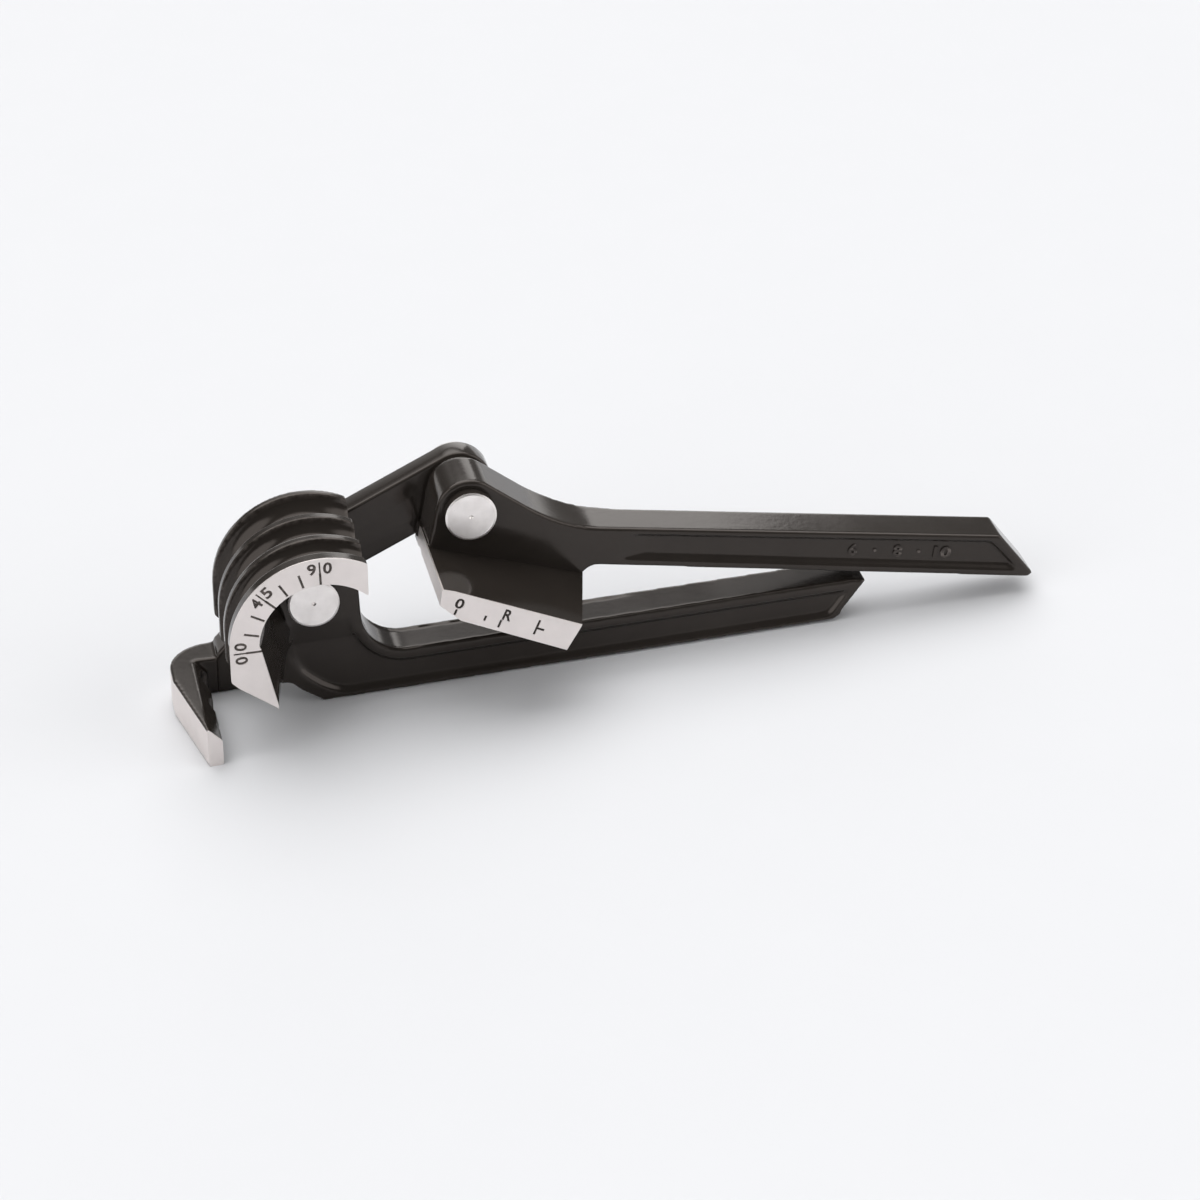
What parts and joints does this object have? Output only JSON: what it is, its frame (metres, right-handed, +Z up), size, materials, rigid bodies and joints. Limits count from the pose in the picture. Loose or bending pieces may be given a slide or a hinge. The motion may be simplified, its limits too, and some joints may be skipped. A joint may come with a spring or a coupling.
{
  "type": "lever tube bender",
  "caption": "Hand lever bender for soft tube: a grooved half-round former and hook on one handle, and a pivoting shoe on the other, joined by a link.",
  "frame": {"origin": "middle of the object's box, on the surface that it stands on", "axes": "+X along the lower handle towards its tip, +Y from the scale side to the link side, +Z up"},
  "size_m": [0.2028, 0.0438, 0.0511],
  "materials": {
    "black_paint": "satin black enamel on cast metal, thin and shiny along the edges",
    "machined_face": "bright milled faces with fine tool marks",
    "turned_steel": "bright faced pin heads with fine turning rings",
    "plain_steel": "plain steel washers",
    "spring_steel": "blackened spring steel"
  },
  "bodies": {
    "former": {"former_handle": "black_paint"},
    "link": {"link_plate": "black_paint", "former_pin": "turned_steel", "shoe_pin": "turned_steel", "former_thrust_washer": "plain_steel", "shoe_thrust_washer": "plain_steel", "former_rear_washer": "plain_steel", "shoe_rear_washer": "plain_steel", "former_retaining_ring": "spring_steel", "shoe_retaining_ring": "spring_steel"},
    "shoe": {"shoe_handle": "black_paint"}
  },
  "joints": [
    {"name": "link_swing", "type": "hinge", "parent": "former", "child": "link", "pos_m": [-0.0677, 0.0153, 0.02715], "axis": [0, -1, 0], "range_deg": [0, 153.5]},
    {"name": "shoe_swing", "type": "hinge", "parent": "link", "child": "shoe", "pos_m": [-0.03056, 0.0036, 0.0433], "axis": [0, -1, 0], "range_deg": [-1.2, 110]}
  ]
}
